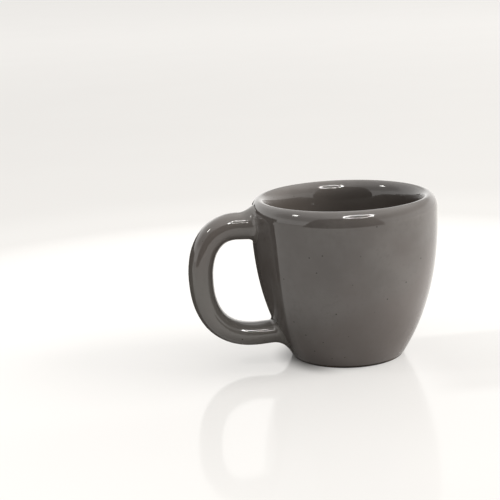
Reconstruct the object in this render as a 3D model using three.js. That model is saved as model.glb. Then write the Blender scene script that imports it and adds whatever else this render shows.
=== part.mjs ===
// A small thick-walled espresso cup with one loop handle.
// The cup stands on its foot ring, +Z is up and the handle points along -X.
// All lengths are in millimetres and all angles in degrees.

import * as THREE from "three";

// Outside of the bowl
const cupHeight = 56;
const rimDiameter = 64;
const footDiameter = 38.2;
const wallLean = 31.7; // how far the wall leans outward where it leaves the foot
const lowerBelly = 21.4; // how long the wall keeps the lean before it turns up
const upperBelly = 15.9; // how long the wall stays upright below the lip

// Lip
const lipRoundHeight = 5.1; // the outer round starts this far below the crest
const lipCrestInset = 3.0; // the crest lies this far inside the widest ring
const lipInnerInset = 3.3; // the inner round would stand upright this far inside the crest
const lipInnerRoundHeight = 6.0;

// Inside of the bowl
const innerWallLean = 9; // the bowl narrows downwards inside
const floorHeight = 5.6;
const floorCorner = 11.0; // height of the sweep from floor to wall

// Foot
const baseEdgeRound = 1.0;
const footRingWidth = 3.2;
const footRecessDepth = 1.3;
const footRecessSlope = 0.9; // the recess is this much narrower at its top

// Handle loop, measured on its centre line
const handleReach = 18.3; // beyond the widest ring of the bowl
const handleOuterRaise = 2.1; // widest point above half way between the roots
const upperRootDrop = 8.2; // below the crest of the lip
const upperRootRise = 3; // slope of the upper arm where it leaves the wall
const upperArmSweep = 6.5;
const upperBackSweep = 12.7;
const lowerRootHeight = 10.2;
const lowerRootFall = 2.5; // slope of the lower arm where it leaves the wall
const lowerArmSweep = 4.2;
const lowerBackSweep = 22.5;

// Handle section
const handleThicknessAtTop = 9.2;
const handleThicknessAtBottom = 7.7;
const handleWidth = 10.4;
const handleSquareness = 2.2; // 2 is an ellipse, more is squarer

// Slip joints between the handle's cut ends and the wall
const upperJointLength = 5.0;
const lowerJointLength = 5.2;
const upperFilletOver = 3.15;
const upperFilletUnder = 2.0;
const lowerFilletOver = 1.5;
const lowerFilletUnder = 4.1;
const upperFilletSide = 3.6;
const lowerFilletSide = 3.0;
const filletEdge = 0.3; // thickness that the fillet runs out to
const filletShare = 0.9; // most of the joint's length that the fillet may take up
const jointGap = 0.3; // between the slip and the wall

// Facets
const turnSteps = 72;
const wallSteps = 15;
const lipSteps = 6;
const cornerSteps = 4;
const sectionSteps = 24;
const armSteps = 15;
const filletSteps = 5;
const saddleSteps = 4;

// Searches for a point on the wall
const halvings = 40;
const searchReach = 15; // longer than any straight line from a cut end to the wall
const slopeReach = 0.05; // the wall's slope is read this far above and below a height

// Sizes that follow
const rimRadius = rimDiameter / 2;
const footRadius = footDiameter / 2;
const widestHeight = cupHeight - lipRoundHeight;
const crestRadius = rimRadius - lipCrestInset;
const upperRootHeight = cupHeight - upperRootDrop;
const radians = THREE.MathUtils.degToRad;
const innerSlope = Math.tan(radians(innerWallLean));

const glaze = { color: 0x7c7874, roughness: 0.12, metalness: 0 };

// The outer wall, from the top of the rounded base edge to the widest ring.
const leanDirection = new THREE.Vector2(Math.sin(radians(wallLean)), Math.cos(radians(wallLean)));
const wallFoot = new THREE.Vector2(footRadius, 0).addScaledVector(leanDirection, baseEdgeRound);
const outerWall = new THREE.CubicBezierCurve(
  wallFoot,
  wallFoot.clone().addScaledVector(leanDirection, lowerBelly - baseEdgeRound),
  new THREE.Vector2(rimRadius, widestHeight - upperBelly),
  new THREE.Vector2(rimRadius, widestHeight),
);

// A stretch of an ellipse about (centreX, centreY), between two angles in degrees.
function ellipseArc(centreX, centreY, radiusX, radiusY, from, to, steps) {
  const arc = new THREE.EllipseCurve(
    centreX,
    centreY,
    radiusX,
    radiusY,
    radians(from),
    radians(to),
    to < from,
  );
  return arc.getPoints(steps);
}

// Where a curve that only climbs reaches a height.
function pointAtHeight(curve, height) {
  let low = 0;
  let high = 1;
  for (let i = 0; i < halvings; i++) {
    const middle = (low + high) / 2;
    if (curve.getPoint(middle).y < height) low = middle;
    else high = middle;
  }
  return curve.getPoint(low);
}

// Radius of the bowl's outside at a height, over the wall and the round of the lip.
function outerRadius(height) {
  if (height <= wallFoot.y) return wallFoot.x;
  if (height < widestHeight) return pointAtHeight(outerWall, height).x;
  const share = Math.min((height - widestHeight) / lipRoundHeight, 1);
  return crestRadius + lipCrestInset * Math.sqrt(1 - share * share);
}

// The inner round of the lip, from the crest to where it has the lean of the inner wall.
function innerLip() {
  const end = Math.atan2(lipInnerRoundHeight * innerSlope, lipInnerInset);
  return ellipseArc(
    crestRadius,
    cupHeight - lipInnerRoundHeight,
    lipInnerInset,
    lipInnerRoundHeight,
    90,
    180 - THREE.MathUtils.radToDeg(end),
    lipSteps,
  );
}

// The sweep from the foot of the straight inner wall to the flat floor, tangent to both.
function floorSweep(wallTop) {
  const startHeight = floorHeight + floorCorner;
  const startRadius = wallTop.x - innerSlope * (wallTop.y - startHeight);
  const start = new THREE.Vector2(startRadius, startHeight);
  const corner = new THREE.Vector2(startRadius - innerSlope * floorCorner, floorHeight);
  const end = new THREE.Vector2(corner.x - corner.distanceTo(start), floorHeight);
  return new THREE.QuadraticBezierCurve(start, corner, end);
}

// Half of the bowl's section, from the axis under the foot, up the outside,
// over the lip and down the straight inner wall to the axis again.
function bowlProfile() {
  const standingEdge = footRadius - baseEdgeRound;
  const recessEdge = standingEdge - footRingWidth;
  const baseEdge = new THREE.QuadraticBezierCurve(
    new THREE.Vector2(standingEdge, 0),
    new THREE.Vector2(footRadius, 0),
    wallFoot,
  );
  const recess = new THREE.QuadraticBezierCurve(
    new THREE.Vector2(recessEdge - footRecessSlope, footRecessDepth),
    new THREE.Vector2(recessEdge - footRecessSlope / 2, footRecessDepth),
    new THREE.Vector2(recessEdge, 0),
  );
  const lip = innerLip();
  const sweep = floorSweep(lip[lip.length - 1]);
  const points = [new THREE.Vector2(0, footRecessDepth)];
  points.push(...recess.getPoints(cornerSteps));
  points.push(...baseEdge.getPoints(cornerSteps));
  points.push(...outerWall.getPoints(wallSteps).slice(1));
  points.push(
    ...ellipseArc(crestRadius, widestHeight, lipCrestInset, lipRoundHeight, 0, 90, lipSteps).slice(1),
  );
  points.push(...lip.slice(1));
  points.push(...sweep.getPoints(2 * cornerSteps));
  points.push(new THREE.Vector2(0, floorHeight));
  return points;
}

function makeBowl() {
  const geometry = new THREE.LatheGeometry(bowlProfile(), turnSteps);
  geometry.rotateX(Math.PI / 2);
  return geometry;
}

// A closed body through rings of equal counts, with a fan of triangles at each end.
function loft(rings, startCentre, endCentre) {
  const count = rings[0].length;
  const points = [...rings.flat(), startCentre, endCentre];
  const start = points.length - 2;
  const end = points.length - 1;
  const lastRing = (rings.length - 1) * count;
  const index = [];
  for (let j = 0; j < count; j++) {
    const next = (j + 1) % count;
    index.push(start, next, j);
    index.push(end, lastRing + j, lastRing + next);
    for (let i = 0; i < rings.length - 1; i++) {
      const a = i * count + j;
      const b = i * count + next;
      index.push(a, b, b + count);
      index.push(a, b + count, a + count);
    }
  }
  const geometry = new THREE.BufferGeometry().setFromPoints(points);
  geometry.setIndex(index);
  geometry.computeVertexNormals();
  return geometry;
}

// A point of the handle's plane, given by its distance from the cup's axis and its height,
// moved sideways out of that plane.
function placed(reach, side, height) {
  return new THREE.Vector3(-reach, side, height);
}

// A root is where an arm's centre line meets the wall. out points away from the wall,
// across points to the outer side of the loop.
function makeRoot(height, slope, outerSide, length, thickness, fillets) {
  const out = new THREE.Vector2(Math.cos(radians(slope)), Math.sin(radians(slope)));
  const across = new THREE.Vector2(-out.y, out.x).multiplyScalar(outerSide);
  const centre = new THREE.Vector2(outerRadius(height), height);
  const cut = centre.clone().addScaledVector(out, length);
  return { out, across, centre, cut, thickness, fillets, outerSide };
}

// Outline of the handle's section at a share of a turn: first number towards the outer side
// of the loop, second out of the loop's plane, both from -1 to 1.
function sectionShape(step) {
  const angle = (2 * Math.PI * step) / sectionSteps;
  const power = 2 / handleSquareness;
  const c = Math.cos(angle);
  const s = Math.sin(angle);
  return [Math.sign(c) * Math.abs(c) ** power, Math.sign(s) * Math.abs(s) ** power];
}

function sectionRing(centre, across, thickness) {
  const ring = [];
  for (let j = 0; j < sectionSteps; j++) {
    const [outer, side] = sectionShape(j);
    const point = centre.clone().addScaledVector(across, (outer * thickness) / 2);
    ring.push(placed(point.x, (side * handleWidth) / 2, point.y));
  }
  return ring;
}

const upperRoot = makeRoot(
  upperRootHeight,
  upperRootRise,
  1,
  upperJointLength,
  handleThicknessAtTop,
  { outer: upperFilletOver, inner: upperFilletUnder, side: upperFilletSide },
);
const lowerRoot = makeRoot(
  lowerRootHeight,
  -lowerRootFall,
  -1,
  lowerJointLength,
  handleThicknessAtBottom,
  { outer: lowerFilletUnder, inner: lowerFilletOver, side: lowerFilletSide },
);

// The loop between its two cut ends: out from the upper root, round and back to the lower one.
function makeHandle() {
  const outermost = new THREE.Vector2(
    rimRadius + handleReach,
    (upperRootHeight + lowerRootHeight) / 2 + handleOuterRaise,
  );
  const upperArm = new THREE.CubicBezierCurve(
    upperRoot.cut,
    upperRoot.cut.clone().addScaledVector(upperRoot.out, upperArmSweep),
    new THREE.Vector2(outermost.x, outermost.y + upperBackSweep),
    outermost,
  );
  const lowerArm = new THREE.CubicBezierCurve(
    outermost,
    new THREE.Vector2(outermost.x, outermost.y - lowerBackSweep),
    lowerRoot.cut.clone().addScaledVector(lowerRoot.out, lowerArmSweep),
    lowerRoot.cut,
  );
  const rings = [sectionRing(upperRoot.cut, upperRoot.across, upperRoot.thickness)];
  for (let i = 1; i < 2 * armSteps; i++) {
    const share = i / (2 * armSteps);
    const thickness = THREE.MathUtils.lerp(handleThicknessAtTop, handleThicknessAtBottom, share);
    const arm = i < armSteps ? upperArm : lowerArm;
    const local = (i % armSteps) / armSteps;
    const along = arm.getTangentAt(local);
    rings.push(sectionRing(arm.getPointAt(local), new THREE.Vector2(-along.y, along.x), thickness));
  }
  rings.push(sectionRing(lowerRoot.cut, lowerRoot.across, lowerRoot.thickness));
  const startCentre = placed(upperRoot.cut.x, 0, upperRoot.cut.y);
  const endCentre = placed(lowerRoot.cut.x, 0, lowerRoot.cut.y);
  return loft(rings, startCentre, endCentre);
}

// How much the outer radius grows with each millimetre of height.
function wallSlope(height) {
  const above = outerRadius(height + slopeReach);
  const below = outerRadius(height - slopeReach);
  return (above - below) / (2 * slopeReach);
}

// Radius of the surface that lies a distance outside the bowl, measured square to it.
function offsetRadius(height, distance) {
  return outerRadius(height) + distance * Math.hypot(1, wallSlope(height));
}

// A point on the surface that lies jointGap and lift outside the wall.
function onWall(side, height, lift) {
  const radius = offsetRadius(height, jointGap + lift);
  return placed(Math.sqrt(radius * radius - side * side), side, height);
}

// Where a straight line meets the plane that touches the wall's offset surface at foot.
function tangentCorner(start, direction, foot) {
  const normal = new THREE.Vector3(foot.x, foot.y, 0).normalize();
  normal.z = -wallSlope(foot.z);
  const distance = foot.clone().sub(start).dot(normal) / direction.dot(normal);
  return start.clone().addScaledVector(direction, distance);
}

// Where a straight line from the cut end towards the wall meets the joint's wall face.
function wallHit(from, direction) {
  let near = 0;
  let far = searchReach;
  for (let i = 0; i < halvings; i++) {
    const middle = (near + far) / 2;
    const point = from.clone().addScaledVector(direction, middle);
    if (Math.hypot(point.x, point.y) > offsetRadius(point.z, jointGap + filletEdge)) near = middle;
    else far = middle;
  }
  return from.clone().addScaledVector(direction, near);
}

// The bed of slip at one root: flat against the handle's cut end, flaring by a round fillet
// and closed by a saddle that follows the wall.
function makeSlip(root) {
  const cutRing = sectionRing(root.cut, root.across, root.thickness);
  const inward = placed(-root.out.x, 0, -root.out.y);
  const flare = Array.from({ length: filletSteps + 1 }, () => []);
  const feet = [];
  cutRing.forEach((start, j) => {
    const angle = (2 * Math.PI * j) / sectionSteps;
    const outer = Math.cos(angle);
    const side = Math.sin(angle);
    const ends = outer > 0 ? root.fillets.outer : root.fillets.inner;
    const fillet = ends * outer * outer + root.fillets.side * side * side;
    const hit = wallHit(start, inward);
    const footSide = hit.y + fillet * side;
    const footHeight = hit.z + fillet * outer * root.across.y;
    const foot = onWall(footSide, footHeight, filletEdge);
    const corner = tangentCorner(start, inward, foot);
    const run = Math.min(fillet, filletShare * start.distanceTo(corner));
    const leave = corner.clone().addScaledVector(inward, -run);
    const curve = new THREE.QuadraticBezierCurve3(leave, corner, foot);
    flare.forEach((ring, i) => ring.push(curve.getPoint(i / filletSteps)));
    feet.push([footSide, footHeight]);
  });
  const saddle = [];
  for (let i = saddleSteps; i > 0; i--) {
    const share = i / saddleSteps;
    const ring = feet.map(([side, height]) =>
      onWall(side * share, THREE.MathUtils.lerp(root.centre.y, height, share), 0),
    );
    saddle.push(ring);
  }
  const rings = [cutRing, ...flare, ...saddle];
  // Seen along the run to the wall, the upper root's rings turn the other way from the lower's.
  if (root.outerSide > 0) rings.forEach((ring) => ring.reverse());
  const startCentre = placed(root.cut.x, 0, root.cut.y);
  return loft(rings, startCentre, onWall(0, root.centre.y, 0));
}

const cup = new THREE.Group();

function addPiece(name, geometry) {
  const piece = new THREE.Mesh(geometry, new THREE.MeshStandardMaterial(glaze));
  piece.name = name;
  cup.add(piece);
}

addPiece("cup_body", makeBowl());
addPiece("handle", makeHandle());
addPiece("upper_handle_slip", makeSlip(upperRoot));
addPiece("lower_handle_slip", makeSlip(lowerRoot));

// The origin is at the middle of the object's box, on the surface that the cup stands on.
const box = new THREE.Box3().setFromObject(cup);
cup.position.x = -(box.min.x + box.max.x) / 2;

export default cup;
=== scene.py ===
"""The espresso cup's visual model: a turned bowl, a loop handle luted to its wall, and a grey
high-gloss glaze over brown clay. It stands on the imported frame, in metres, with +Z up and the
handle towards -X."""

from math import atan2, comb, cos, degrees, pi, radians, sin, tan

import bpy
import numpy as np
from bpy.props import FloatProperty, FloatVectorProperty, PointerProperty
from mathutils import Matrix, Vector


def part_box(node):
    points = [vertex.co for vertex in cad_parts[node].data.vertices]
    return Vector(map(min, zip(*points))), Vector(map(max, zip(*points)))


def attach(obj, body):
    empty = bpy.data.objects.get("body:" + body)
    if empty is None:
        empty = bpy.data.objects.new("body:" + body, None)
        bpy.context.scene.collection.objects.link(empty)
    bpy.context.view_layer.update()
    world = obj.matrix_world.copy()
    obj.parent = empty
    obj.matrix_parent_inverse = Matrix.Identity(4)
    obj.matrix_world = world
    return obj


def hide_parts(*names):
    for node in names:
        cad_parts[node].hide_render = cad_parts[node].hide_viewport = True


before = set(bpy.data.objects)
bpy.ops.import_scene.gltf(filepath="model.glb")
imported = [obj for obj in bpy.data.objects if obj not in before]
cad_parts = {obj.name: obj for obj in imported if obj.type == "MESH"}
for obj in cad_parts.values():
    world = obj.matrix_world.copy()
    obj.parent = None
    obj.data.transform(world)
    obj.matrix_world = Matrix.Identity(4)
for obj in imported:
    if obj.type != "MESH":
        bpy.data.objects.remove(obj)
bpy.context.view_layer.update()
bowl_low, bowl_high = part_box("cup_body")

bl_info = {
    "name": "Espresso Cup",
    "version": (1, 0, 0),
    "blender": (4, 5, 0),
    "location": "View3D > Sidebar > Cup",
    "description": "Bowl, handle, glaze and studio of a small espresso cup",
    "category": "Object",
}

MM = 0.001
SENSOR_WIDTH = 36

# How finely the surfaces are divided: round the bowl, round the handle, along its loop, along the
# straight and the bent part of a joint, and round the ring lamp.
BOWL_STEPS = 288
OUTLINE_STEPS = 144
LOOP_STEPS = 200
STRAIGHT_RINGS = 4
BEND_RINGS = 18
LAMP_STEPS = 96

# Points on the wall's curve and on an arm's curve, which other points are read from.
WALL_READINGS = 4001
ARM_READINGS = 2001

# Points on each stretch of the bowl's section, from the axis under the foot to the axis inside.
SECTION_POINTS = {
    "under": 14,
    "recess": 12,
    "edge": 14,
    "wall": 96,
    "outer_lip": 26,
    "inner_lip": 32,
    "inside": 60,
    "sweep": 30,
    "floor": 16,
}
# The smallest ring round the axis, as a share of the flat that it closes.
POLE_SHARE = 0.02

# Slow waves in the wall: share of the depth, how many go round, where they start in radians, and
# how far they turn between foot and lip in whole turns.
WALL_WAVES = ((0.45, 2, 0.8, 0.0), (0.3, 3, -1.3, 0.7), (0.25, 5, 2.1, -1.4))
# Slow waves in the loop: half waves from end to end, and how far they lag round the section.
LOOP_WAVES = (9, 5)
LOOP_LAGS = (1.4, -2)


def length(name, description, millimetres):
    """A length that is stored in metres, with its default given in millimetres."""
    return FloatProperty(
        name=name,
        description=description,
        default=millimetres * MM,
        unit="LENGTH",
        precision=5,
    )


def angle(name, description, turn):
    """An angle that is stored in radians, with its default given in degrees."""
    return FloatProperty(name=name, description=description, default=radians(turn), unit="ROTATION")


def amount(name, description, default):
    """A plain number from zero up."""
    return FloatProperty(name=name, description=description, default=default, min=0.0)


def colour(name, description, default):
    """A linear colour."""
    return FloatVectorProperty(
        name=name,
        description=description,
        default=default,
        size=3,
        min=0.0,
        max=1.0,
        subtype="COLOR",
    )


def place(name, description, millimetres):
    """A point that is stored in metres, with its default given in millimetres."""
    return FloatVectorProperty(
        name=name,
        description=description,
        default=[value * MM for value in millimetres],
        size=3,
        unit="LENGTH",
        subtype="TRANSLATION",
        precision=5,
    )


class BowlSizes(bpy.types.PropertyGroup):
    """Sizes of the turned bowl."""

    height: length("Height", "From the foot to the crest of the lip", bowl_high.z / MM)
    rim_diameter: length("Rim diameter", "Across the widest ring", (bowl_high.y - bowl_low.y) / MM)
    foot_diameter: length("Foot diameter", "Across the base of the wall", 38.2)
    wall_lean: angle("Wall lean", "Lean of the wall where it leaves the foot", 31.7)
    lower_belly: length("Lower belly", "How long the wall keeps its lean", 21.4)
    upper_belly: length("Upper belly", "How long the wall stays upright below the lip", 15.9)
    lip_round: length("Lip round", "Height of the round outside the lip", 5.1)
    lip_inset: length("Lip inset", "From the widest ring in to the crest", 3)
    lip_inner_inset: length("Lip inner inset", "From the crest in to the end of the round", 3.3)
    lip_inner_round: length("Lip inner round", "Height of the round inside the lip", 6)
    inner_lean: angle("Inner lean", "Lean of the inside wall, which narrows downwards", 9)
    floor: length("Floor", "Height of the inside floor", 5.6)
    floor_corner: length("Floor corner", "Height of the sweep from floor to wall", 11)
    edge_round: length("Edge round", "Round at the base of the wall", 1)
    ring_width: length("Ring width", "Width of the foot ring", 3.2)
    recess_depth: length("Recess depth", "Depth of the recess under the foot", 1.3)
    recess_slope: length("Recess slope", "How much the recess narrows at its top", 0.9)
    glaze_edge: length("Glaze edge", "Height at which the glaze stops above the table", 1.15)
    glaze_step: length("Glaze step", "Thickness of the glaze where it stops", 0.12)
    unevenness: length("Unevenness", "Depth of the slow waves in the wall", 0.08)


class HandleSizes(bpy.types.PropertyGroup):
    """Sizes of the loop handle and of its two roots."""

    reach: length("Reach", "From the widest ring out to the loop's centre line", 18.3)
    outer_raise: length("Outer raise", "Widest point above half way between the roots", 2.1)
    upper_drop: length("Upper drop", "Upper root below the crest of the lip", 8.2)
    upper_rise: angle("Upper rise", "Slope of the upper arm at the wall", 3)
    upper_sweep: length("Upper sweep", "How long the upper arm keeps its slope", 6.5)
    upper_back: length("Upper back", "How long the back stays upright above its middle", 12.7)
    lower_height: length("Lower height", "Height of the lower root", 10.2)
    lower_fall: angle("Lower fall", "Slope of the lower arm at the wall", 2.5)
    lower_sweep: length("Lower sweep", "How long the lower arm keeps its slope", 4.2)
    lower_back: length("Lower back", "How long the back stays upright below its middle", 22.5)
    upper_thickness: length("Upper thickness", "Thickness at the upper root", 9.2)
    lower_thickness: length("Lower thickness", "Thickness at the lower root", 7.7)
    width: length("Width", "Width of the handle out of the loop's plane", 10.4)
    squareness: amount("Squareness", "Two gives an ellipse, more is squarer", 2.2)
    upper_joint: length("Upper joint", "From the wall to where the arm is even", 5)
    lower_joint: length("Lower joint", "From the wall to where the arm is even", 5.2)
    upper_fillet_over: length("Upper fillet over", "Spread of the joint above the upper root", 3.15)
    upper_fillet_under: length("Upper fillet under", "Spread of the joint below the upper root", 2)
    upper_fillet_side: length("Upper fillet side", "Spread of the joint beside the upper root", 3)
    lower_fillet_over: length("Lower fillet over", "Spread of the joint above the lower root", 1.5)
    lower_fillet_under: length("Lower fillet under", "Spread of the joint below the lower root", 4.1)
    lower_fillet_side: length("Lower fillet side", "Spread of the joint beside the lower root", 1.9)
    thin_edge: amount("Thin edge", "Share of each joint's bend that is left off at the wall", 0.15)
    unevenness: length("Unevenness", "Depth of the slow waves in the loop", 0.06)


class GlazeFinish(bpy.types.PropertyGroup):
    """Colours and gloss of the glaze and of the bare clay, with painted light in the handle's lighter
    greys and painted shade inside the bowl and in the dark clay at the foot.
    """

    grey: colour("Grey", "The glaze where it lies thick", (0.118, 0.105, 0.097))
    pale_grey: colour("Pale grey", "The glaze where it lies thin", (0.15, 0.137, 0.128))
    # Painted shade: a darker grey for the inside of the bowl below the lip, where the deep inside lies in
    # shade.
    shade_grey_inside: colour("Inside shade grey", "The glaze inside, where it runs thickest", (0.082, 0.071, 0.063))
    # Painted light: the handle's greys are a lighter copy of the bowl's glaze, for the brighter light
    # that falls on the handle.
    handle_lit_grey: colour("Handle grey", "The handle's thinner glaze", (0.157, 0.146, 0.132))
    pale_handle_lit_grey: colour("Pale handle grey", "The handle's thinnest glaze", (0.18, 0.168, 0.154))
    warm_grey: colour("Warm grey", "Slow brownish clouds in the glaze", (0.138, 0.115, 0.105))
    speck: colour("Speck", "Iron specks in the glaze", (0.035, 0.027, 0.022))
    # Bare clay, darkened so that it also holds a painted contact shadow along the foot's edge.
    clay: colour("Clay", "Bare clay of the foot ring", (0.024, 0.016, 0.011))
    pale_clay: colour("Pale clay", "Rubbed clay of the foot ring", (0.075, 0.05, 0.034))
    smoothest: amount("Smoothest", "Roughness where the glaze is smoothest", 0.02)
    roughest: amount("Roughest", "Roughness where the glaze is dullest", 0.035)
    clay_smoothest: amount("Clay smoothest", "Roughness where the clay is smoothest", 0.6)
    clay_roughest: amount("Clay roughest", "Roughness where the clay is roughest", 0.85)
    mottling: amount("Mottling", "How strong the fine mottling is", 0.5)
    warmth: amount("Warmth", "How strong the brownish clouds are", 0.6)
    specking: amount("Specking", "How strong the specks are", 0.75)
    ripple: amount("Ripple", "Share of the slow ripple in the relief", 0.9)
    peel: amount("Peel", "Share of the fine peel in the relief", 0.02)
    relief: amount("Relief", "Strength of the relief", 0.2)
    relief_depth: length("Relief depth", "Depth of the relief", 0.1)
    wander: length("Wander", "How far the glaze's edge wanders", 0.35)


class StudioSettings(bpy.types.PropertyGroup):
    """The camera, the light and the table."""

    camera_place: place("Camera place", "Where the camera stands", (-87.434, -445.189, 141.866))
    camera_aim: place("Camera aim", "The point in the middle of the picture", (-20.552, 8.157, 37.443))
    camera_roll: angle("Camera roll", "Turn of the camera about its own line of sight", -2.714)
    lens: amount("Lens", "Focal length in millimetres", 97.55)
    turn: angle("Turn", "How far the camera stands to the left of the front", 12.5)
    left_light: amount("Left light", "Brightness of the light from the left", 0.06)
    right_light: amount("Right light", "Brightness of the light from the right", 1.3)
    over_light: amount("Over light", "Brightness of the light from overhead", 0.9)
    left_wall: amount("Left wall", "Brightness of the left wall in the gloss", 1.5)
    right_wall: amount("Right wall", "Brightness of the right wall in the gloss", 1.1)
    ceiling: amount("Ceiling", "Brightness of the ceiling in the gloss", 1.8)
    dark: amount("Dark", "Brightness of the dark parts of the room", 0.06)
    backdrop: amount("Backdrop", "Brightness of the background in the picture", 0.9)
    near_lift: amount("Near lift", "Brightness added for the camera at the cup", 0.42)
    middle_lift: amount("Middle lift", "Brightness added for the camera beyond the cup", 0.378)
    far_lift: amount("Far lift", "Brightness added for the camera far away", 0.485)
    front_lift: amount("Front lift", "Brightness added for the camera in front", 0.04)
    side_shade: amount("Side shade", "Brightness taken away beside the cup on the right", 0.08)
    gloss_lift: amount("Gloss lift", "Brightness that the gloss shows added to the table", 0.42)
    camera_grey: amount("Camera grey", "How much darker the camera sees the table's own colour", 0.42)
    bounce_grey: amount("Bounce grey", "How much darker the table's light on the cup is", 0.5)
    foot_shadow: amount("Foot shadow", "Share of the near lift that the foot's shadow takes", 0.9)
    smoothest: amount("Smoothest", "Roughness where the table is smoothest", 0.06)
    roughest: amount("Roughest", "Roughness where the table is dullest", 0.1)
    sheen: amount("Sheen", "Strength of the table's own reflection near the cup", 0.2)
    white: colour("White", "The table", (0.78, 0.765, 0.745))
    pale_white: colour("Pale white", "The table where it is palest", (0.81, 0.795, 0.775))
    lift_white: colour("Lift white", "Colour of the lift and of the lamps", (1.0, 0.985, 0.96))
    room_white: colour("Room white", "Colour of the room", (1.0, 0.985, 0.965))
    ring_white: colour("Ring white", "Colour of the ring lamp's reflection", (1.0, 0.99, 0.97))
    dark_brown: colour("Dark brown", "Colour of the dark parts of the table", (1.0, 0.9, 0.8))
    right_lamp: amount("Right lamp", "Power of the large lamp on the right in watts", 60)
    right_place: place("Right place", "Where the right lamp stands", (2350, -520, 1250))
    right_size: length("Right size", "Side of the right lamp", 1400)
    left_lamp: amount("Left lamp", "Power of the small lamp on the left in watts", 0.5)
    left_place: place("Left place", "Where the left lamp stands", (-494, -22, 525))
    left_size: length("Left size", "Side of the left lamp", 80)
    ring_light: amount("Ring light", "Strength of the ring lamp's reflection", 90)
    ring_turn: angle("Ring turn", "How far the ring lamp stands to the right of the front", 9.5)
    ring_height: angle("Ring height", "How high the ring lamp stands, seen from the cup", 47)
    ring_distance: length("Ring distance", "From the cup to the ring lamp's middle", 600)
    ring_hole: length("Ring hole", "From the middle to the ring lamp's dark disc", 2)
    ring_inside: length("Ring inside", "From the middle to the lit ring", 129)
    ring_outside: length("Ring outside", "From the middle to the lit ring's outer edge", 142)
    ring_widening: amount("Ring widening", "Width of the ring lamp over its depth", 1.14)
    aim_height: length("Aim height", "Height on the cup that the lamps face", 30)


# Shapes


def bezier(controls, count):
    """Points of a Bezier curve at even steps of t from 0 to 1: the sum over its controls k of
    C(n, k) (1 - t)^(n - k) t^k times control k."""
    controls = np.asarray(controls, float)
    share = np.linspace(0, 1, count)[:, None]
    last = len(controls) - 1
    weights = [comb(last, k) * (1 - share) ** (last - k) * share**k for k in range(last + 1)]
    return sum(weight * control for weight, control in zip(weights, controls))


def evenly(points, count):
    """Points at equal steps along a line: each coordinate is read at equal shares of its length."""
    steps = np.linalg.norm(np.diff(points, axis=0), axis=1)
    along = np.concatenate([[0], np.cumsum(steps)])
    wanted = np.linspace(0, along[-1], count)
    return np.stack([np.interp(wanted, along, column) for column in points.T], axis=-1)


def ellipse_arc(centre, radii, start, end, count):
    """Centre plus (radius x cos a, radius y sin a), with a from start to end in degrees."""
    turn = np.radians(np.linspace(start, end, count))
    return np.stack([centre[0] + radii[0] * np.cos(turn), centre[1] + radii[1] * np.sin(turn)], axis=-1)


def level_line(start, end, height, count):
    """Points at even steps along a level line of the section."""
    return np.stack([np.linspace(start, end, count), np.full(count, height)], axis=-1)


def wall_controls(bowl):
    """Controls of the outer wall's curve, from the top of the rounded base edge to the widest ring."""
    lean = np.array([sin(bowl.wall_lean), cos(bowl.wall_lean)])
    foot = np.array([bowl.foot_diameter / 2, 0]) + bowl.edge_round * lean
    rim = bowl.rim_diameter / 2
    widest = bowl.height - bowl.lip_round
    return [
        foot,
        foot + (bowl.lower_belly - bowl.edge_round) * lean,
        [rim, widest - bowl.upper_belly],
        [rim, widest],
    ]


def wall_radius(bowl, height):
    """Radius of the outside at a height: the wall's curve read by its height, and above the widest
    ring the quarter ellipse crest + inset sqrt(1 - s^2), s being the share of the lip's round."""
    curve = bezier(wall_controls(bowl), WALL_READINGS)
    wall = np.interp(height, curve[:, 1], curve[:, 0])
    share = np.clip((height - (bowl.height - bowl.lip_round)) / bowl.lip_round, 0, 1)
    return wall - bowl.lip_inset * (1 - np.sqrt(1 - share**2))


def wall_waves(bowl, turn, height):
    """How far the outside lies within its true circle, between nothing and the unevenness: half of
    the depth times 1 + the sum of share x cos(count x turn + start + twist x 2 pi z / height)."""
    rise = 2 * pi * height / bowl.height
    waves = sum(
        share * np.cos(count * turn + start + twist * rise) for share, count, start, twist in WALL_WAVES
    )
    return bowl.unevenness * (1 + waves) / 2


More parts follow.
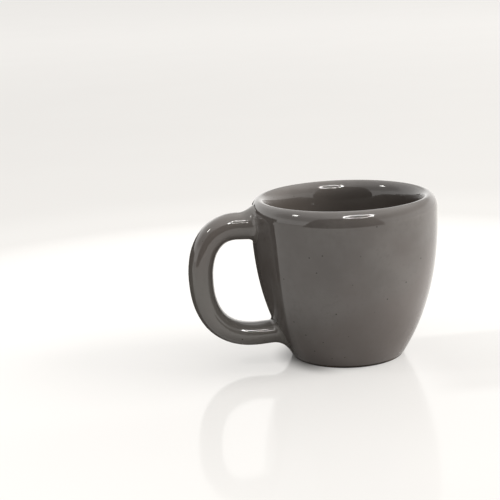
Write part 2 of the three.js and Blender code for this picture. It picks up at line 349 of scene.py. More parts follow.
def bowl_section(bowl):
    """Half of the bowl's section, from the recess under the foot, up the outside, over the lip and
    down the inside to the floor. Columns: radius, height, and how much of the waves it takes."""
    count = SECTION_POINTS
    standing = bowl.foot_diameter / 2 - bowl.edge_round
    recess_edge = standing - bowl.ring_width
    recess_top = recess_edge - bowl.recess_slope
    recess_bend = [recess_top + bowl.recess_slope / 2, bowl.recess_depth]
    widest = bowl.height - bowl.lip_round
    crest = bowl.rim_diameter / 2 - bowl.lip_inset
    foot = wall_controls(bowl)[0]
    under = level_line(POLE_SHARE * recess_top, recess_top, bowl.recess_depth, count["under"])
    recess = bezier([[recess_top, bowl.recess_depth], recess_bend, [recess_edge, 0]], count["recess"])
    edge = bezier([[standing, 0], [bowl.foot_diameter / 2, 0], foot], count["edge"])
    climb = np.linspace(foot[1], widest, count["wall"])
    outside = np.stack([wall_radius(bowl, climb), climb], axis=-1)
    outer_radii = [bowl.lip_inset, bowl.lip_round]
    outer_lip = ellipse_arc([crest, widest], outer_radii, 0, 90, count["outer_lip"])
    # The inner round goes on until its slope is that of the inside wall.
    slope = tan(bowl.inner_lean)
    round_centre = [crest, bowl.height - bowl.lip_inner_round]
    round_end = 180 - degrees(atan2(bowl.lip_inner_round * slope, bowl.lip_inner_inset))
    inner_radii = [bowl.lip_inner_inset, bowl.lip_inner_round]
    inner_lip = ellipse_arc(round_centre, inner_radii, 90, round_end, count["inner_lip"])
    descent = np.linspace(inner_lip[-1][1], bowl.floor + bowl.floor_corner, count["inside"])
    inside = np.stack([inner_lip[-1][0] - slope * (descent[0] - descent), descent], axis=-1)
    corner = np.array([inside[-1][0] - slope * bowl.floor_corner, bowl.floor])
    end = corner - [np.linalg.norm(corner - inside[-1]), 0]
    sweep = bezier([inside[-1], corner, end], count["sweep"])
    flat = level_line(end[0], POLE_SHARE * end[0], bowl.floor, count["floor"])
    still = [under, recess[1:], edge]
    wavy = [outside[1:], outer_lip[1:], inner_lip[1:], inside[1:], sweep[1:]]
    parts = [(line, 0) for line in still] + [(line, 1) for line in wavy] + [(flat[1:], 0)]
    section = np.concatenate(
        [np.column_stack([line, np.full(len(line), share)]) for line, share in parts]
    )
    # Below the glaze's edge the clay stands back by the glaze's thickness. The step is smooth: half
    # of 1 - tanh(sharpness x height over the edge), with the height counted in edge heights.
    sharpness = 6
    highest = 3 * bowl.glaze_edge
    outer = np.arange(len(section)) >= len(under) + len(recess) - 1
    low = outer & (section[:, 1] < highest)
    back = 0.5 - 0.5 * np.tanh(sharpness * (section[:, 1] / bowl.glaze_edge - 1))
    section[:, 0] -= np.where(low, bowl.glaze_step * back, 0)
    return section


def closed_grid(rows, first_pole, last_pole):
    """Vertices and faces of a closed surface through rings of equal counts, each ring joined to the
    next by quads and each end ring to its pole by triangles."""
    count = rows.shape[1]
    points = np.concatenate([rows.reshape(-1, 3), [first_pole, last_pole]])
    first = len(points) - 2
    last = len(points) - 1
    ring = np.arange(count)
    after = (ring + 1) % count
    start = np.arange(rows.shape[0] - 1)[:, None] * count
    quads = np.stack([start + ring, start + after, start + count + after, start + count + ring], axis=-1)
    end = (rows.shape[0] - 1) * count
    caps = np.concatenate(
        [
            np.stack([np.full(count, first), after, ring], axis=-1),
            np.stack([np.full(count, last), end + ring, end + after], axis=-1),
        ]
    )
    return points, quads.reshape(-1, 4), caps


def make_piece(name, points, quads, caps, material, nodes):
    """A smooth mesh piece with its faces outward: they are turned round where the volume
    sum of a . (b x c) / 6 comes out negative."""
    a, b, c, d = (points[quads[:, k]] for k in range(4))
    e, f, g = (points[caps[:, k]] for k in range(3))
    volume = sum(np.sum(p * np.cross(q, r)) for p, q, r in ((a, b, c), (a, c, d), (e, f, g))) / 6
    if abs(volume) < MM**3:
        raise RuntimeError(name + " encloses nothing")
    if volume < 0:
        quads = quads[:, ::-1]
        caps = caps[:, ::-1]
    mesh = bpy.data.meshes.new(name)
    mesh.from_pydata(points.tolist(), [], quads.tolist() + caps.tolist())
    mesh.polygons.foreach_set("use_smooth", np.ones(len(mesh.polygons), bool))
    mesh.update()
    mesh.materials.append(material)
    piece = bpy.data.objects.new(name, mesh)
    bpy.context.scene.collection.objects.link(piece)
    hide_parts(*nodes)
    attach(piece, "root")
    return piece


def cup_axis():
    """Place of the bowl's axis along X."""
    return (bowl_low.x + bowl_high.x) / 2


def bowl_surface(bowl):
    """The section turned about the axis: (r cos a, r sin a, z), with r lessened by the waves."""
    section = bowl_section(bowl)
    turn = np.linspace(0, 2 * pi, BOWL_STEPS, endpoint=False)
    waves = wall_waves(bowl, turn[None, :], section[:, 1:2])
    radius = section[:, 0:1] - section[:, 2:3] * waves
    height = np.broadcast_to(section[:, 1:2], radius.shape)
    rows = np.stack([radius * np.cos(turn) + cup_axis(), radius * np.sin(turn), height], axis=-1)
    return closed_grid(rows, [cup_axis(), 0, bowl.recess_depth], [cup_axis(), 0, bowl.floor])


def placed(reach, side, height):
    """Points of the handle, given by their distance from the cup's axis in the loop's plane,
    their distance out of that plane and their height."""
    return np.stack(np.broadcast_arrays(-reach, side, height), axis=-1)


def section_outline(handle):
    """The handle's outline as a superellipse: cos and sin, each to the power 2 / squareness with
    its sign kept. Also the plain cos and sin of each step."""
    turn = np.linspace(0, 2 * pi, OUTLINE_STEPS, endpoint=False)
    c = np.cos(turn)
    s = np.sin(turn)
    power = 2 / handle.squareness
    return np.sign(c) * np.abs(c) ** power, np.sign(s) * np.abs(s) ** power, c, s


def root_of(bowl, height, slope, outer_side, joint):
    """Where an arm's centre line meets the wall: the direction out, the direction across towards
    the outer side of the loop, the centre on the wall and the cut where the even arm begins."""
    out = np.array([cos(slope), sin(slope)])
    across = outer_side * np.array([-out[1], out[0]])
    centre = np.array([float(wall_radius(bowl, height)), height])
    return {"out": out, "across": across, "centre": centre, "cut": centre + joint * out}


def on_wall(bowl, side, height):
    """Points of the bowl's outside beside the handle, with the wall's waves."""
    radius = wall_radius(bowl, height)
    turn = np.arctan2(side, -np.sqrt(radius**2 - side**2))
    radius = radius - wall_waves(bowl, turn, height)
    return placed(np.sqrt(radius**2 - side**2), side, height)


def wall_normal(bowl, points):
    """Outward direction of the wall: (cos a, sin a, -dr/dz), made one long."""
    step = 0.02 * MM
    slope = (wall_radius(bowl, points[:, 2] + step) - wall_radius(bowl, points[:, 2] - step)) / (2 * step)
    flat = points[:, :2] / np.linalg.norm(points[:, :2], axis=1, keepdims=True)
    normal = np.column_stack([flat, -slope])
    return normal / np.linalg.norm(normal, axis=1, keepdims=True)


def wall_hit(bowl, start, direction):
    """Where straight lines from the cut end meet the wall, by halving the stretch between."""
    longest = 15 * MM
    halvings = 40
    near = np.zeros(len(start))
    far = np.full(len(start), longest)
    for _ in range(halvings):
        middle = (near + far) / 2
        point = start + middle[:, None] * direction
        outside = np.linalg.norm(point[:, :2], axis=1) > wall_radius(bowl, point[:, 2])
        near = np.where(outside, middle, near)
        far = np.where(outside, far, middle)
    return start + near[:, None] * direction


def joint_rows(bowl, handle, root, thickness, fillets):
    """Rings from the arm's cut end to the wall. Each line of the arm runs straight to where it
    leaves, and bends through its corner towards its foot on the wall as a quadratic curve. The
    corner is where the line meets the wall's tangent plane at the foot. The bend's thin edge is
    left off: short of the foot it dips steeply under the wall, which leaves a fine crease, and
    closes inside it."""
    # The bend takes at most this share of a line's reach.
    most_bend = 0.9
    # The last rings dip this far under the bend's end, go this far on, and close at this depth.
    dips = (0.15 * MM, 0.5 * MM)
    creep = 0.1 * MM
    pole_depth = 2.2 * MM
    outer, side, c, s = section_outline(handle)
    over, under, beside = fillets
    start = placed(
        root["cut"][0] + outer * thickness / 2 * root["across"][0],
        side * handle.width / 2,
        root["cut"][1] + outer * thickness / 2 * root["across"][1],
    )
    inward = placed(-root["out"][0], 0, -root["out"][1])
    spread = np.where(c > 0, over, under) * c**2 + beside * s**2
    hit = wall_hit(bowl, start, inward)
    foot = on_wall(bowl, hit[:, 1] + spread * s, hit[:, 2] + spread * c * np.sign(root["across"][1]))
    normal = wall_normal(bowl, foot)
    reach = np.sum(normal * (foot - start), axis=1) / np.sum(normal * inward, axis=1)
    corner = start + reach[:, None] * inward
    leave = corner - np.minimum(spread, most_bend * reach)[:, None] * inward
    straight = [
        start + share * (leave - start) for share in np.linspace(0, 1, STRAIGHT_RINGS, endpoint=False)
    ]
    bend = [
        (1 - share) ** 2 * leave + 2 * share * (1 - share) * corner + share**2 * foot
        for share in np.linspace(0, 1 - handle.thin_edge, BEND_RINGS)
    ]
    away = (foot - corner) / np.linalg.norm(foot - corner, axis=1, keepdims=True)
    dip = [bend[-1] + creep * away - depth * normal for depth in dips]
    pole = placed(root["centre"][0] - pole_depth, 0, root["centre"][1])
    rows = np.stack(straight + bend + dip + [(dip[-1] + pole) / 2])
    return rows, pole


def loop_waves(handle, share, c, s):
    """How far the loop lies within its true section: slow waves along and round it, between
    nothing and the unevenness, which fade out at both cut ends. They are half of 1 + the product
    of cos(waves x pi t + lag x cos a) and cos(waves x pi t + lag x sin a), times sin(pi t)."""
    first = np.cos(LOOP_WAVES[0] * pi * share + LOOP_LAGS[0] * c)
    second = np.cos(LOOP_WAVES[1] * pi * share + LOOP_LAGS[1] * s)
    return handle.unevenness * (1 + first * second) / 2 * np.sin(pi * share)


def loop_rows(handle, upper, lower, outermost):
    """Rings of the even loop: its centre line is two cubic curves that meet upright at the
    outermost point, and the outline's thickness falls evenly along it."""
    upper_bend = upper["cut"] + handle.upper_sweep * upper["out"]
    lower_bend = lower["cut"] + handle.lower_sweep * lower["out"]
    above = outermost + [0, handle.upper_back]
    below = outermost - [0, handle.lower_back]
    upper_arm = bezier([upper["cut"], upper_bend, above, outermost], ARM_READINGS)
    lower_arm = bezier([outermost, below, lower_bend, lower["cut"]], ARM_READINGS)
    half = LOOP_STEPS // 2
    line = np.concatenate([evenly(upper_arm, half + 1), evenly(lower_arm, half + 1)[1:]])
    along = np.gradient(line, axis=0)
    along[0] = upper["out"]
    along[-1] = -lower["out"]
    along /= np.linalg.norm(along, axis=1, keepdims=True)
    across = np.column_stack([-along[:, 1], along[:, 0]])
    share = np.linspace(0, 1, len(line))[:, None]
    thickness = handle.upper_thickness + share * (handle.lower_thickness - handle.upper_thickness)
    outer, side, c, s = section_outline(handle)
    shrink = loop_waves(handle, share, c, s)
    offset = outer * (thickness / 2 - shrink)
    return placed(
        line[:, 0:1] + offset * across[:, 0:1],
        side * (handle.width / 2 - shrink),
        line[:, 1:2] + offset * across[:, 1:2],
    )


def handle_surface(bowl, handle):
    """One closed surface: upper joint, loop and lower joint, ring by ring round the section."""
    upper = root_of(bowl, bowl.height - handle.upper_drop, handle.upper_rise, 1, handle.upper_joint)
    lower = root_of(bowl, handle.lower_height, -handle.lower_fall, -1, handle.lower_joint)
    outermost = np.array(
        [
            bowl.rim_diameter / 2 + handle.reach,
            (upper["centre"][1] + lower["centre"][1]) / 2 + handle.outer_raise,
        ]
    )
    upper_fillets = (handle.upper_fillet_over, handle.upper_fillet_under, handle.upper_fillet_side)
    lower_fillets = (handle.lower_fillet_under, handle.lower_fillet_over, handle.lower_fillet_side)
    upper_rows, upper_pole = joint_rows(bowl, handle, upper, handle.upper_thickness, upper_fillets)
    lower_rows, lower_pole = joint_rows(bowl, handle, lower, handle.lower_thickness, lower_fillets)
    loop = loop_rows(handle, upper, lower, outermost)
    rows = np.concatenate([upper_rows[::-1], loop[1:-1], lower_rows])
    shift = np.array([cup_axis(), 0, 0])
    return closed_grid(rows + shift, upper_pole + shift, lower_pole + shift)


# Finishes

# Scales of the glaze's and the clay's patterns in cycles per metre.
CLOUD_SCALE = 65.0
MOTTLE_SCALE = 620.0
WARM_SCALE = 26.0
SPECK_SCALE = 230.0
DULL_SCALE = 120.0
RIPPLE_SCALE = 190.0
PEEL_SCALE = 1300.0
GRAIN_SCALE = 1800.0
RUBBED_SCALE = 240.0
WANDER_SCALE = 170.0

# Where a change starts and where it is complete, in each pattern's own values.
CLOUD_EDGE = (0.3, 0.72)
MOTTLE_EDGE = (0.5, 0.75)
WARM_EDGE = (0.42, 0.66)
SPECK_EDGE = (0.05, 0.08)
DULL_EDGE = (0.35, 0.7)
GRAIN_EDGE = (0.3, 0.7)
RUBBED_EDGE = (0.4, 0.7)

# How much the grain darkens the clay, and how high it stands.
GRAIN_SHADE = 0.5
GRAIN_HEIGHT = 0.6

# The Mix node's two inputs and its output, for numbers and for colours.
MIX_SOCKETS = {"FLOAT": (2, 3, 0), "RGBA": (6, 7, 2)}


def add(tree, kind, settings=(), **sockets):
    """A node of a kind, with its settings, and with each named socket set or joined."""
    node = tree.nodes.new(kind)
    for name, value in dict(settings).items():
        setattr(node, name, value)
    for name, value in sockets.items():
        feed(tree, node.inputs[name.replace("_", " ").title()], value)
    return node


def feed(tree, socket, value):
    """Joins a socket to another's output, or sets its value."""
    if isinstance(value, bpy.types.NodeSocket):
        tree.links.new(value, socket)
    else:
        socket.default_value = value


def noise(tree, coordinates, scale, detail=2.0):
    """Fractal noise at a scale in cycles per metre."""
    node = add(tree, "ShaderNodeTexNoise", vector=coordinates, scale=scale, detail=detail)
    return node.outputs[0]


def ramp(tree, value, edge, low=0.0, high=1.0):
    """A smooth step from low to high as the value goes from the edge's start to its end."""
    node = add(
        tree,
        "ShaderNodeMapRange",
        {"interpolation_type": "SMOOTHSTEP"},
        value=value,
        from_min=edge[0],
        from_max=edge[1],
        to_min=low,
        to_max=high,
    )
    return node.outputs[0]


def reckon(tree, operation, first, second=0.0):
    """One sum, quotient or other operation on two numbers."""
    node = tree.nodes.new("ShaderNodeMath")
    node.operation = operation
    feed(tree, node.inputs[0], first)
    feed(tree, node.inputs[1], second)
    return node.outputs[0]


def times(tree, *factors):
    """The product of two or more numbers."""
    product = factors[0]
    for factor in factors[1:]:
        product = reckon(tree, "MULTIPLY", product, factor)
    return product


def ratio(tree, first, second):
    """The first number over the second."""
    return reckon(tree, "DIVIDE", first, second)


def less(tree, first, second):
    """The first number less the second."""
    return reckon(tree, "SUBTRACT", first, second)


def plus(tree, first, second):
    """The sum of two numbers."""
    return reckon(tree, "ADD", first, second)


def parts_of(tree, vector):
    """The three numbers of a vector."""
    return add(tree, "ShaderNodeSeparateXYZ", vector=vector).outputs


def length_of(tree, vector):
    """The length of a vector."""
    return add(tree, "ShaderNodeVectorMath", {"operation": "LENGTH"}, vector=vector).outputs["Value"]


def from_axis(tree, coordinates):
    """Coordinates counted from the foot of the bowl's axis."""
    moved = add(tree, "ShaderNodeVectorMath", vector=coordinates)
    feed(tree, moved.inputs[1], (-cup_axis(), 0.0, 0.0))
    return moved.outputs[0]


def blend(tree, kind, share, first, second):
    """The first value where the share is nothing and the second where it is one."""
    node = add(tree, "ShaderNodeMix", {"data_type": kind})
    first_socket, second_socket, result = MIX_SOCKETS[kind]
    feed(tree, node.inputs[0], share)
    feed(tree, node.inputs[first_socket], first)
    feed(tree, node.inputs[second_socket], second)
    return node.outputs[result]


def blend_colours(tree, share, first, second):
    """A blend of two colours."""
    return blend(tree, "RGBA", share, first, second)


def blend_numbers(tree, share, first, second):
    """A blend of two numbers."""
    return blend(tree, "FLOAT", share, first, second)


def opaque(values):
    """A colour with full alpha."""
    return (*values, 1.0)


def new_material(name):
    """An empty node material and its output."""
    material = bpy.data.materials.new(name)
    material.use_nodes = True
    tree = material.node_tree
    tree.nodes.clear()
    output = tree.nodes.new("ShaderNodeOutputMaterial")
    return material, tree, output


def glaze_nodes(tree, coordinates, finish, grey, pale_grey):
    """Colour, roughness and bump height of the glaze: cloudy greys, fine mottling, slow brownish
    clouds, sparse iron specks, a slow ripple and a fine peel."""
    clouds = noise(tree, coordinates, CLOUD_SCALE, detail=3.0)
    mottle = noise(tree, coordinates, MOTTLE_SCALE, detail=3.0)
    warm = noise(tree, coordinates, WARM_SCALE)
    dull = noise(tree, coordinates, DULL_SCALE, detail=4.0)
    cells = add(tree, "ShaderNodeTexVoronoi", vector=coordinates, scale=SPECK_SCALE).outputs["Distance"]
    greys = blend_colours(tree, ramp(tree, clouds, CLOUD_EDGE), opaque(grey), opaque(pale_grey))
    shade = times(tree, ramp(tree, mottle, MOTTLE_EDGE), finish.mottling)
    greys = blend_colours(tree, shade, greys, opaque(grey))
    warmth = times(tree, ramp(tree, warm, WARM_EDGE), finish.warmth)
    greys = blend_colours(tree, warmth, greys, opaque(finish.warm_grey))
    specks = times(tree, ramp(tree, cells, SPECK_EDGE, 1.0, 0.0), finish.specking)
    greys = blend_colours(tree, specks, greys, opaque(finish.speck))
    rough = ramp(tree, dull, DULL_EDGE, finish.smoothest, finish.roughest)
    ripple = times(tree, noise(tree, coordinates, RIPPLE_SCALE, detail=1.0), finish.ripple)
    peel = times(tree, noise(tree, coordinates, PEEL_SCALE), finish.peel)
    return greys, rough, plus(tree, ripple, peel)


def clay_nodes(tree, coordinates, finish):
    """Colour, roughness and bump height of the bare clay: grainy brown, darkened to hold a painted
    contact shadow along the foot.
    """
    grain = noise(tree, coordinates, GRAIN_SCALE, detail=4.0)
    rubbed = noise(tree, coordinates, RUBBED_SCALE, detail=3.0)
    browns = blend_colours(
        tree, ramp(tree, rubbed, RUBBED_EDGE), opaque(finish.clay), opaque(finish.pale_clay)
    )
    browns = blend_colours(tree, times(tree, grain, GRAIN_SHADE), browns, opaque(finish.clay))
    rough = ramp(tree, grain, GRAIN_EDGE, finish.clay_smoothest, finish.clay_roughest)
    return browns, rough, times(tree, grain, GRAIN_HEIGHT)


def finish_nodes(tree, output, finish, colours, rough, height):
    """The shader of a finish with its relief, joined to the output."""
    depth = finish.relief_depth
    bump = add(tree, "ShaderNodeBump", strength=finish.relief, distance=depth, height=height)
    shader = add(
        tree, "ShaderNodeBsdfPrincipled", base_color=colours, roughness=rough, normal=bump.outputs[0]
    )
    tree.links.new(shader.outputs[0], output.inputs["Surface"])


def glaze_material(finish):
    """The glaze alone, for the handle, in the handle's lighter greys, which are painted light."""
    material, tree, output = new_material("handle_glaze")
    coordinates = tree.nodes.new("ShaderNodeTexCoord").outputs["Object"]
    nodes = glaze_nodes(tree, coordinates, finish, finish.handle_lit_grey, finish.pale_handle_lit_grey)
    finish_nodes(tree, output, finish, *nodes)
    return material


def bowl_material(bowl, finish):
    """The glaze down to a wandering line just above the table, and bare clay below it, dark enough to
    hold a painted contact shadow. Inside the bowl a darker grey is painted shade.
    """
    material, tree, output = new_material("bowl_glaze")
    coordinates = tree.nodes.new("ShaderNodeTexCoord").outputs["Object"]
    greys, rough, height = glaze_nodes(tree, coordinates, finish, finish.grey, finish.pale_grey)
    x, y, z = parts_of(tree, from_axis(tree, coordinates))
    radius = reckon(tree, "SQRT", plus(tree, times(tree, x, x), times(tree, y, y)))
    # Painted shade inside the bowl: a darker grey within a cone between the inner and the outer wall,
    # which narrows by its slope on the way down, and below the lip.
    rim = bowl.rim_diameter / 2
    cone_slope = 0.25
    cone_edge = (rim - 3 * MM, rim - 5 * MM)
    shade_below_lip = (bowl.height - 0.5 * MM, bowl.height - 7 * MM)
    cone = plus(tree, radius, times(tree, less(tree, bowl.height, z), cone_slope))
    painted_shade_inside = times(tree, ramp(tree, cone, cone_edge), ramp(tree, z, shade_below_lip))
    greys = blend_colours(tree, painted_shade_inside, greys, opaque(finish.shade_grey_inside))
    browns, clay_rough, clay_height = clay_nodes(tree, coordinates, finish)
    glaze_line = (bowl.glaze_edge - 0.3 * MM, bowl.glaze_edge - 0.2 * MM)
    level = less(tree, z, times(tree, noise(tree, coordinates, WANDER_SCALE), finish.wander))
    glazed = ramp(tree, level, glaze_line)
    colours = blend_colours(tree, glazed, browns, greys)
    rough = blend_numbers(tree, glazed, clay_rough, rough)
    height = blend_numbers(tree, glazed, clay_height, height)
    finish_nodes(tree, output, finish, colours, rough, height)
    return material


# Studio

# Edges on the table in metres, each from where a change starts to where it is complete: by the
# distance from the middle, by the distance from the bowl's axis, along X or along Y.
NEAR_TO_MIDDLE = (0.26, 0.33)
MIDDLE_TO_FAR = (0.5, 1.9)
SHEEN_END = (0.06, 0.25)
SHADOW_LEFT = (-0.006, -0.018)
SHADOW_END = (0.018, 0.028)
SHADE_RIGHT = (0.01, 0.032)
SHADE_BACK = (0.013, 0.006)
SHADE_FRONT = (-0.058, -0.045)
SHADE_END = (0.11, 0.055)
PALER_FRONT = (-0.05, -0.12)
GLOSS_START = (0.026, 0.06)
DARK_FRONT = (-0.32, -0.35)
DARK_LEFT = (-0.008, -0.012)
DARK_BACK = (-0.002, 0.002)
# The dark part in front is a wedge, with its sides at these values of |x / y|. The one on the left
# lies behind a curve that goes over into a slanting line.
DARK_WEDGE = (1.2, 1.08)
DARK_BEND = 0.9
DARK_SLANT = -0.27

# The table's size and finish: half its side, its cloudy whites and its faint relief.
TABLE_HALF = 6.0
TABLE_CLOUD_SCALE = 9.0
TABLE_CLOUD_EDGE = (0.3, 0.7)
TABLE_RELIEF_SCALE = 60.0
TABLE_RELIEF = 0.05
TABLE_RELIEF_DEPTH = 0.1 * MM

# The room, in parts of a line of sight that is one long: X to the right, Y away from the camera
# and Z up.
LOW_LEFT_BACK = (-0.04, 0.0)
LOW_LEFT_SIDE = (-0.38, -0.46)
LOW_LEFT_TOP = (0.14, 0.11)
BRIGHT_BACK = (0.0, 0.3)
BRIGHT_LEFT = (-0.1, -0.4)
LOW_TO_HIGH = (0.22, 0.38)
WALL_TO_CEILING = (0.5, 0.85)
# How bright the walls are low down and high up, and what the gloss adds high up behind on the left.
LOW_WALL = 1.2
HIGH_WALL = 0.66
HIGH_LEFT = 0.5
# The dark patch in front, on a wall that stands one away.
PATCH_ASIDE = 0.04
PATCH_UP = 0.3
PATCH_HALF_WIDTH = 1.14
PATCH_HALF_HEIGHT = 0.53
PATCH_NARROWING = 0.5
PATCH_SQUARENESS = 10.0
PATCH_EDGE = (0.85, 1.15)


def towards_camera(tree, vector, studio):
    """The three numbers of a vector, turned about the upright so that -Y is the way to the camera."""
    turned = add(
        tree, "ShaderNodeVectorRotate", {"rotation_type": "Z_AXIS"}, vector=vector, angle=studio.turn
    )
    return parts_of(tree, turned.outputs[0])


def table_lift(tree, coordinates, path, studio):
    """Brightness added to the table, for the camera and for the gloss only."""
    away = length_of(tree, coordinates)
    lift = ramp(tree, away, NEAR_TO_MIDDLE, studio.near_lift, studio.middle_lift)
    lift = blend_numbers(tree, ramp(tree, away, MIDDLE_TO_FAR), lift, studio.far_lift)
    from_foot = from_axis(tree, coordinates)
    around = length_of(tree, from_foot)
    x, y, _ = parts_of(tree, from_foot)
    # The foot's shadow is deepest on the left, away from the lamp.
    shadow = ramp(tree, around, SHADOW_END, studio.foot_shadow, 0.0)
    shadow = times(tree, ramp(tree, x, SHADOW_LEFT), shadow)
    lift = times(tree, lift, less(tree, 1.0, shadow))
    # A faint shade lies beside the cup on the right, and the table in front is a little brighter.
    shade = times(
        tree,
        ramp(tree, y, SHADE_BACK),
        ramp(tree, y, SHADE_FRONT),
        ramp(tree, x, SHADE_RIGHT, 0.0, studio.side_shade),
        ramp(tree, around, SHADE_END),
    )
    lift = less(tree, lift, shade)
    lift = plus(tree, lift, ramp(tree, y, PALER_FRONT, 0.0, studio.front_lift))
    gloss_lift = ramp(tree, around, GLOSS_START, 0.0, studio.gloss_lift)
    seen = times(tree, path.outputs["Is Camera Ray"], lift)
    return plus(tree, seen, times(tree, path.outputs["Is Glossy Ray"], gloss_lift))


def dark_table(tree, coordinates, studio):
    """Where the table is as dark as the room: in a wedge in front, where |x / y| is small, and on
    the left behind the curve y = bend x^2 and the line y = slant x, whichever is lower."""
    x, y, _ = towards_camera(tree, coordinates, studio)
    aside = reckon(tree, "ABSOLUTE", ratio(tree, x, y))
    front = times(tree, ramp(tree, y, DARK_FRONT), ramp(tree, aside, DARK_WEDGE))
    x, y, _ = parts_of(tree, coordinates)
    edge = reckon(tree, "MINIMUM", times(tree, x, x, DARK_BEND), times(tree, x, DARK_SLANT))
    left = times(tree, ramp(tree, less(tree, y, edge), DARK_BACK), ramp(tree, x, DARK_LEFT))
    return reckon(tree, "MAXIMUM", front, left)


def table_material(studio):
    """A glossy white table, lifted nearly to the white of the room for the camera and in the cup's
    gloss. To the cup it is matt, and dark in front and on the left, as the room is."""
    material, tree, output = new_material("white_table")
    coordinates = tree.nodes.new("ShaderNodeTexCoord").outputs["Object"]
    path = tree.nodes.new("ShaderNodeLightPath")
    to_camera = path.outputs["Is Camera Ray"]
    clouds = noise(tree, coordinates, TABLE_CLOUD_SCALE, detail=3.0)
    whites = blend_colours(tree, clouds, opaque(studio.white), opaque(studio.pale_white))
    bounced = times(tree, path.outputs["Is Diffuse Ray"], studio.bounce_grey)
    greyed = plus(tree, times(tree, to_camera, studio.camera_grey), bounced)
    whites = blend_colours(tree, greyed, whites, (0.0, 0.0, 0.0, 1.0))
    relief = noise(tree, coordinates, TABLE_RELIEF_SCALE)
    bump = add(
        tree, "ShaderNodeBump", strength=TABLE_RELIEF, distance=TABLE_RELIEF_DEPTH, height=relief
    )
    rough = ramp(tree, clouds, TABLE_CLOUD_EDGE, studio.smoothest, studio.roughest)
    shader = add(
        tree,
        "ShaderNodeBsdfPrincipled",
        base_color=whites,
        roughness=blend_numbers(tree, to_camera, 1.0, rough),
        normal=bump.outputs[0],
        emission_color=opaque(studio.lift_white),
        emission_strength=table_lift(tree, coordinates, path, studio),
    )
    sheen = ramp(tree, length_of(tree, coordinates), SHEEN_END, studio.sheen, 0.0)
    feed(tree, shader.inputs["Specular IOR Level"], sheen)
    hidden = times(tree, dark_table(tree, coordinates, studio), less(tree, 1.0, to_camera))
    dark = add(tree, "ShaderNodeEmission", color=opaque(studio.dark_brown), strength=studio.dark)
    mix = tree.nodes.new("ShaderNodeMixShader")
    feed(tree, mix.inputs[0], hidden)
    tree.links.new(shader.outputs[0], mix.inputs[1])
    tree.links.new(dark.outputs[0], mix.inputs[2])
    tree.links.new(mix.outputs[0], output.inputs["Surface"])
    return material


def make_table(studio):
    """A flat square that the cup stands on, large enough to reach past the picture."""
    half = TABLE_HALF
    corners = [(-half, -half, 0), (half, -half, 0), (half, half, 0), (-half, half, 0)]
    mesh = bpy.data.meshes.new("table_top")
    mesh.from_pydata(corners, [], [(0, 1, 2, 3)])
    mesh.materials.append(table_material(studio))
    table = bpy.data.objects.new("table_top", mesh)
    bpy.context.scene.collection.objects.link(table)


def front_patch(tree, x, y, z):
    """The dark patch in front: within |aside / half width|^n + |rise / half height|^n = 1, where
    aside and rise are counted from its middle and it gets narrower upwards."""
    least_ahead = 0.001
    ahead = reckon(tree, "MAXIMUM", times(tree, y, -1.0), least_ahead)
    up = ratio(tree, z, ahead)
    aside = less(tree, ratio(tree, x, ahead), PATCH_ASIDE)
    half_width = less(tree, PATCH_HALF_WIDTH, times(tree, up, PATCH_NARROWING))
    width = ratio(tree, aside, half_width)
    rise = ratio(tree, less(tree, up, PATCH_UP), PATCH_HALF_HEIGHT)
    width, rise = (
        reckon(tree, "POWER", reckon(tree, "ABSOLUTE", part), PATCH_SQUARENESS) for part in (width, rise)
    )
    return ramp(tree, plus(tree, width, rise), PATCH_EDGE, 1.0, 0.0)


def make_world(studio):
    """White for the camera. For the object it is the room: pale walls, brightest overhead, and
    something dark low on the left. The gloss also holds something dark in front, where the camera
    stands, and shows the wall behind on the left as bright higher up too."""
    world = bpy.data.worlds.new("white_room")
    bpy.context.scene.world = world
    world.use_nodes = True
    tree = world.node_tree
    tree.nodes.clear()
    sight = tree.nodes.new("ShaderNodeTexCoord").outputs["Generated"]
    x, y, z = towards_camera(tree, sight, studio)
    path = tree.nodes.new("ShaderNodeLightPath")
    gloss = path.outputs["Is Glossy Ray"]
    left_side = blend_numbers(tree, gloss, studio.left_light, studio.left_wall)
    right_side = blend_numbers(tree, gloss, studio.right_light, studio.right_wall)
    overhead = blend_numbers(tree, gloss, studio.over_light, studio.ceiling)
    room = blend_numbers(tree, ramp(tree, x, (-1.0, 1.0)), left_side, right_side)
    behind = times(tree, ramp(tree, y, BRIGHT_BACK), ramp(tree, x, BRIGHT_LEFT, 0.0, HIGH_LEFT))
    high = plus(tree, times(tree, behind, gloss), HIGH_WALL)
    room = times(tree, room, blend_numbers(tree, ramp(tree, z, LOW_TO_HIGH), LOW_WALL, high))
    room = blend_numbers(tree, ramp(tree, z, WALL_TO_CEILING), room, overhead)
    front = times(tree, front_patch(tree, x, y, z), gloss)
    left = times(
        tree,
        ramp(tree, y, LOW_LEFT_BACK),
        ramp(tree, x, LOW_LEFT_SIDE),
        ramp(tree, z, LOW_LEFT_TOP),
    )
    room = blend_numbers(tree, reckon(tree, "MAXIMUM", front, left), room, studio.dark)
    strength = blend_numbers(tree, path.outputs["Is Camera Ray"], room, studio.backdrop)
    white = opaque(studio.room_white)
    background = add(tree, "ShaderNodeBackground", color=white, strength=strength)
    output = tree.nodes.new("ShaderNodeOutputWorld")
    tree.links.new(background.outputs[0], output.inputs["Surface"])


def soft_lamp(name, studio, position, size, power, shows):
    """A square lamp that faces the cup. Unless it shows, reflections don't hold it."""
    lamp = bpy.data.lights.new(name, "AREA")
    lamp.size = size
    lamp.energy = power
    lamp.color = studio.lift_white
    holder = bpy.data.objects.new(name, lamp)
    holder.location = position
    aim = Vector((cup_axis(), 0, studio.aim_height))
    holder.rotation_euler = (aim - Vector(position)).to_track_quat("-Z", "Y").to_euler()
    holder.visible_glossy = shows
    bpy.context.scene.collection.objects.link(holder)


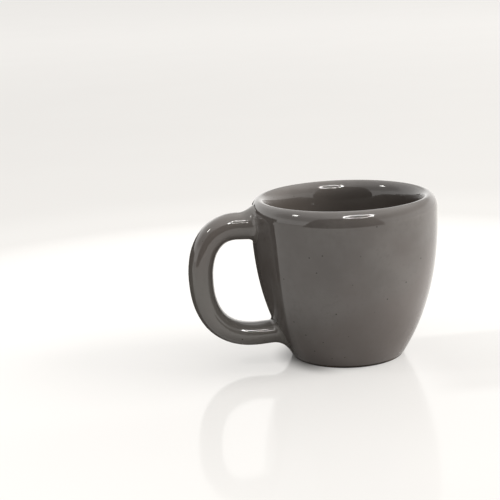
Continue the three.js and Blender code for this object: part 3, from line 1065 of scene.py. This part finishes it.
def gloss_only(name, points, faces, tint, strength):
    """A stage mesh that glows evenly and shows in the cup's first reflections only."""
    mesh = bpy.data.meshes.new(name)
    mesh.from_pydata(points.tolist(), [], faces.tolist())
    material, tree, output = new_material(name)
    # The depth is one in the first reflection and two in the second.
    depth = tree.nodes.new("ShaderNodeLightPath").outputs["Glossy Depth"]
    first = reckon(tree, "LESS_THAN", depth, 1.5)
    glow = add(tree, "ShaderNodeEmission", color=opaque(tint), strength=times(tree, first, strength))
    tree.links.new(glow.outputs[0], output.inputs["Surface"])
    mesh.materials.append(material)
    item = bpy.data.objects.new(name, mesh)
    item.visible_camera = False
    item.visible_diffuse = False
    item.visible_shadow = False
    bpy.context.scene.collection.objects.link(item)


def level_ring(name, studio, inner, outer, strength):
    """A level ring above the cup, a little wider than deep. Its turn is zero towards -Y and grows
    towards +X."""
    level_distance = studio.ring_distance * cos(studio.ring_height)
    middle = np.array(
        [
            cup_axis() + level_distance * sin(studio.ring_turn),
            -level_distance * cos(studio.ring_turn),
            studio.aim_height + studio.ring_distance * sin(studio.ring_height),
        ]
    )
    turn = np.linspace(0, 2 * pi, LAMP_STEPS, endpoint=False)
    circle = np.stack([studio.ring_widening * np.cos(turn), np.sin(turn), np.zeros(LAMP_STEPS)], axis=-1)
    points = (np.array([inner, outer])[:, None, None] * circle + middle).reshape(-1, 3)
    ring = np.arange(LAMP_STEPS)
    after = (ring + 1) % LAMP_STEPS
    faces = np.stack([ring, after, after + LAMP_STEPS, ring + LAMP_STEPS], axis=-1)
    gloss_only(name, points, faces, studio.ring_white, strength)


def make_camera(studio):
    """The photograph's view: level right and up, turned about the line of sight by the roll."""
    lens = bpy.data.cameras.new("camera")
    lens.lens = studio.lens
    lens.sensor_width = SENSOR_WIDTH
    position = Vector(studio.camera_place)
    forward = (Vector(studio.camera_aim) - position).normalized()
    level = forward.cross(Vector((0, 0, 1))).normalized()
    upward = level.cross(forward)
    right = cos(studio.camera_roll) * level + sin(studio.camera_roll) * upward
    up = right.cross(forward)
    camera = bpy.data.objects.new("camera", lens)
    turned = Matrix((right, up, -forward)).transposed()
    camera.matrix_world = Matrix.Translation(position) @ turned.to_4x4()
    bpy.context.scene.collection.objects.link(camera)
    bpy.context.scene.camera = camera


class CUP_OT_make_bowl(bpy.types.Operator):
    """Turns the glazed bowl with its foot ring"""

    bl_idname = "cup.make_bowl"
    bl_label = "Make Bowl"

    def execute(self, context):
        """Adds the bowl."""
        bowl = context.scene.cup_bowl
        points, quads, caps = bowl_surface(bowl)
        material = bowl_material(bowl, context.scene.cup_glaze)
        make_piece("glazed_bowl", points, quads, caps, material, ["cup_body"])
        return {"FINISHED"}


class CUP_OT_make_handle(bpy.types.Operator):
    """Makes the loop handle and lutes both its roots to the wall"""

    bl_idname = "cup.make_handle"
    bl_label = "Make Handle"

    def execute(self, context):
        """Adds the handle."""
        points, quads, caps = handle_surface(context.scene.cup_bowl, context.scene.cup_handle)
        material = glaze_material(context.scene.cup_glaze)
        nodes = ["handle", "upper_handle_slip", "lower_handle_slip"]
        make_piece("glazed_handle", points, quads, caps, material, nodes)
        return {"FINISHED"}


class CUP_OT_set_studio(bpy.types.Operator):
    """Sets the table, the room, the lamps and the camera"""

    bl_idname = "cup.set_studio"
    bl_label = "Set Studio"

    def execute(self, context):
        """Adds the stage."""
        studio = context.scene.cup_studio
        context.scene.view_settings.view_transform = "Standard"
        make_table(studio)
        make_world(studio)
        soft_lamp("right_lamp", studio, studio.right_place, studio.right_size, studio.right_lamp, False)
        soft_lamp("left_lamp", studio, studio.left_place, studio.left_size, studio.left_lamp, True)
        # The ring lamp surrounds a dark disc, which is itself a ring with a small hole.
        level_ring("ring_lamp", studio, studio.ring_inside, studio.ring_outside, studio.ring_light)
        level_ring("ring_shade", studio, studio.ring_hole, studio.ring_inside, studio.dark)
        make_camera(studio)
        return {"FINISHED"}


class CUP_PT_panel(bpy.types.Panel):
    """Lists the sizes, the finish and the steps of the cup"""

    bl_idname = "CUP_PT_panel"
    bl_label = "Espresso Cup"
    bl_space_type = "VIEW_3D"
    bl_region_type = "UI"
    bl_category = "Cup"

    def draw(self, context):
        """Draws a box for each group, with its step where it has one."""
        groups = (
            (context.scene.cup_bowl, "cup.make_bowl"),
            (context.scene.cup_handle, "cup.make_handle"),
            (context.scene.cup_glaze, None),
            (context.scene.cup_studio, "cup.set_studio"),
        )
        for group, step in groups:
            box = self.layout.box()
            for name in group.__annotations__:
                box.prop(group, name)
            if step:
                box.operator(step)


CLASSES = (
    BowlSizes,
    HandleSizes,
    GlazeFinish,
    StudioSettings,
    CUP_OT_make_bowl,
    CUP_OT_make_handle,
    CUP_OT_set_studio,
    CUP_PT_panel,
)
GROUPS = {
    "cup_bowl": BowlSizes,
    "cup_handle": HandleSizes,
    "cup_glaze": GlazeFinish,
    "cup_studio": StudioSettings,
}


def register():
    """Makes the classes known and hangs each group of sizes on the scene."""
    for item in CLASSES:
        bpy.utils.register_class(item)
    for name, group in GROUPS.items():
        setattr(bpy.types.Scene, name, PointerProperty(type=group))


def unregister():
    """Takes away what register made."""
    for name in GROUPS:
        delattr(bpy.types.Scene, name)
    for item in reversed(CLASSES):
        bpy.utils.unregister_class(item)


def main():
    """Registers the add-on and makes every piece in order."""
    register()
    bpy.ops.cup.make_bowl()
    bpy.ops.cup.make_handle()
    bpy.ops.cup.set_studio()


if __name__ == "__main__":
    main()
